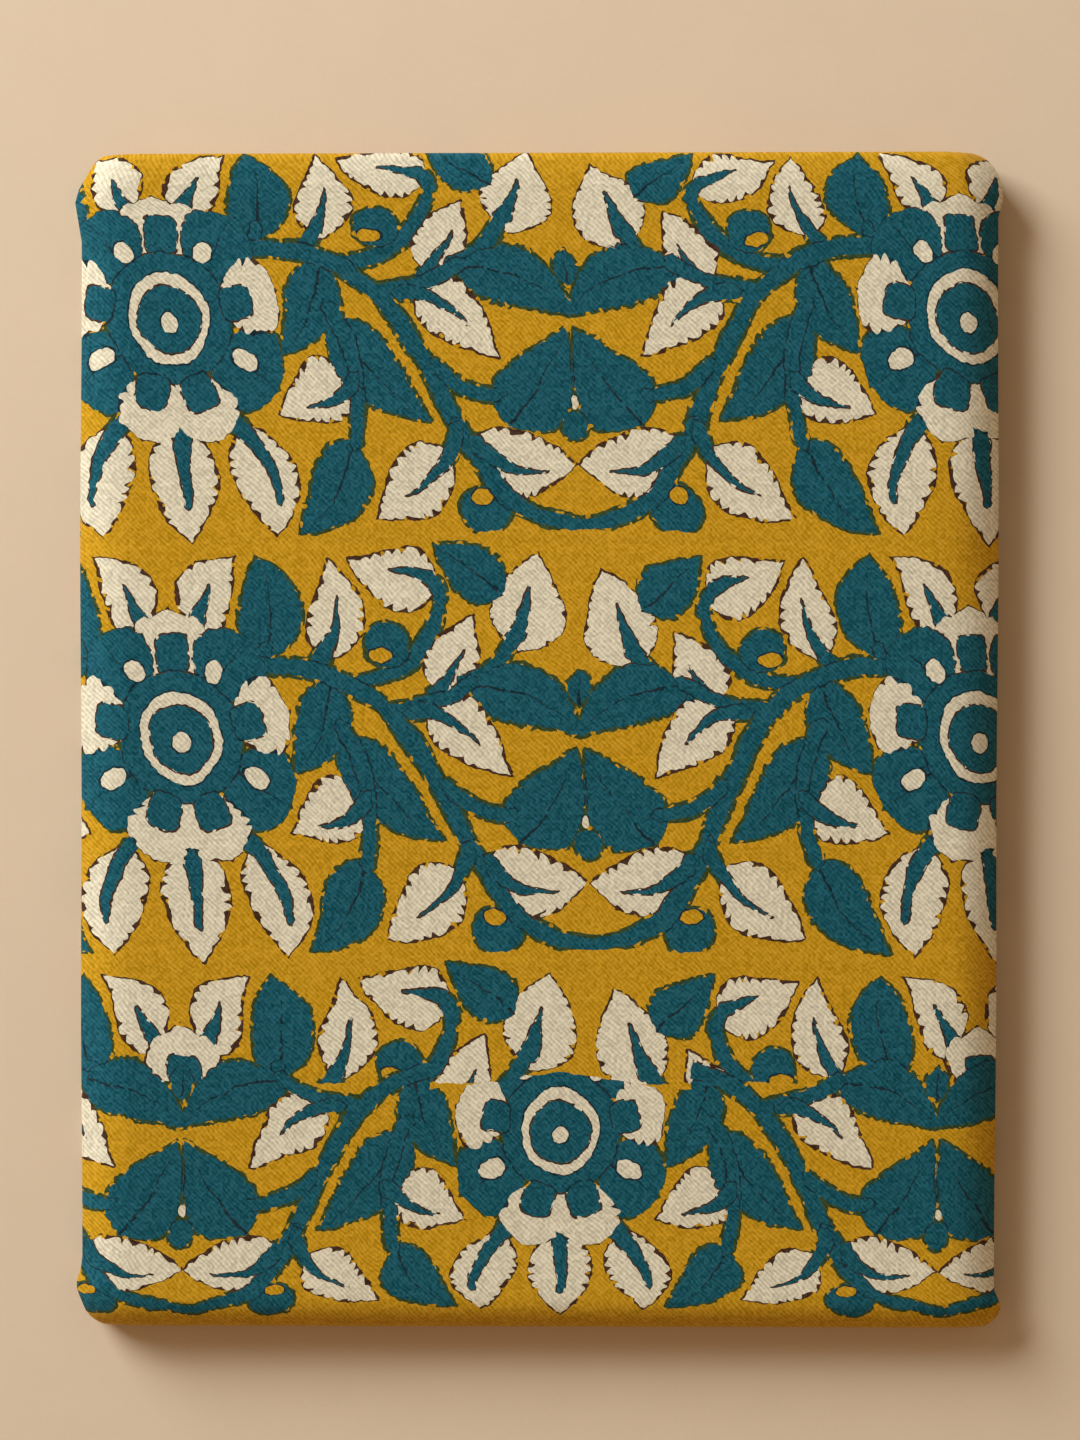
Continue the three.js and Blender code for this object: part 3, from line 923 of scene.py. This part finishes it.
def floorMaterial():
    # Emulsion paint, rolled on: matt, with a fine tooth and a faint mottle
    material = bpy.data.materials.new("paintedBoard")
    material.use_nodes = True
    tree = material.node_tree
    tree.nodes.clear()
    place = addNode(tree, "TexCoord", output="Object")
    tooth = {"Vector": place, "Scale": studio["toothScale"], "Detail": 2.0}
    tooth = addNode(tree, "TexNoise", tooth)
    mottle = {"Vector": place, "Scale": studio["mottleScale"], "Detail": 2.0}
    mottle = addNode(tree, "TexNoise", mottle)
    shade = (tooth, studio["mottleShade"], studio["darkestShade"])
    shade = addNode(tree, "Math", shade, operation="MULTIPLY_ADD")
    shade = addNode(tree, "Math", (mottle, studio["mottleShade"], shade), operation="MULTIPLY_ADD")
    colour = {0: sRgb(studio["floorColour"])[:3], "Scale": shade}
    colour = addNode(tree, "VectorMath", colour, operation="SCALE")
    relief = {"Strength": studio["toothRelief"], "Distance": studio["toothDepth"], "Height": tooth}
    shader = addNode(tree, "BsdfPrincipled", {
        "Base Color": colour,
        "Roughness": studio["floorRoughness"],
        "Normal": addNode(tree, "Bump", relief),
    })
    addNode(tree, "OutputMaterial", (shader,), output=slice(0))
    return material


def makeFloor():
    half = studio["floorSize"] / 2
    mesh = bpy.data.meshes.new("floor")
    square = [(-half, -half), (half, -half), (half, half), (-half, half)]
    mesh.from_pydata([(x, y, -studio["floorDrop"]) for x, y in square], [], [(0, 1, 2, 3)])
    floor = bpy.data.objects.new("floor", mesh)
    bpy.context.collection.objects.link(floor)
    mesh.materials.append(floorMaterial())


def makeLight():
    heading, height = math.radians(studio["lightHeading"]), math.radians(studio["lightHeight"])
    level = math.cos(height)
    direction = Vector((level * math.cos(heading), level * math.sin(heading), math.sin(height)))
    light = bpy.data.lights.new("softbox", "AREA")
    light.shape = "SQUARE"
    light.size = studio["lightSize"]
    light.energy = studio["lightPower"]
    light.color = sRgb(studio["lightColour"])[:3]
    lamp = bpy.data.objects.new("softbox", light)
    lamp.location = direction * studio["lightFrom"]
    lamp.rotation_euler = direction.to_track_quat("Z", "Y").to_euler()
    bpy.context.collection.objects.link(lamp)
    world = bpy.data.worlds.new("room")
    world.use_nodes = True
    tree = world.node_tree
    tree.nodes.clear()
    room = {"Color": sRgb(studio["roomColour"]), "Strength": studio["roomStrength"]}
    addNode(tree, "OutputWorld", (addNode(tree, "Background", room),), output=slice(0))
    bpy.context.scene.world = world
    bpy.context.scene.view_settings.view_transform = "Standard"


# The camera looks straight down. The photograph is 1080 pixels across, and the pack 916 of them.
view = {
    "photoAcross": 1080,
    "packAcross": 916,
    "sensor": 36,
    "distance": 1.31,  # from the middle of the pack's height, where its sides stand out
    "aside": 0.0003,
    "beyond": 0.0063,
}


def makeCamera():
    spans = cloth["packWidth"] * mm * view["photoAcross"] / view["packAcross"]
    data = bpy.data.cameras.new("fromAbove")
    data.sensor_fit = "HORIZONTAL"
    data.sensor_width = view["sensor"]
    data.lens = view["sensor"] * view["distance"] / spans
    camera = bpy.data.objects.new("fromAbove", data)
    camera.location = (view["aside"], view["beyond"], cadHigh.z / 2 + view["distance"])
    bpy.context.collection.objects.link(camera)
    bpy.context.scene.camera = camera


makeFloor()
makeLight()
makeCamera()
print("floor, light and camera are in place")
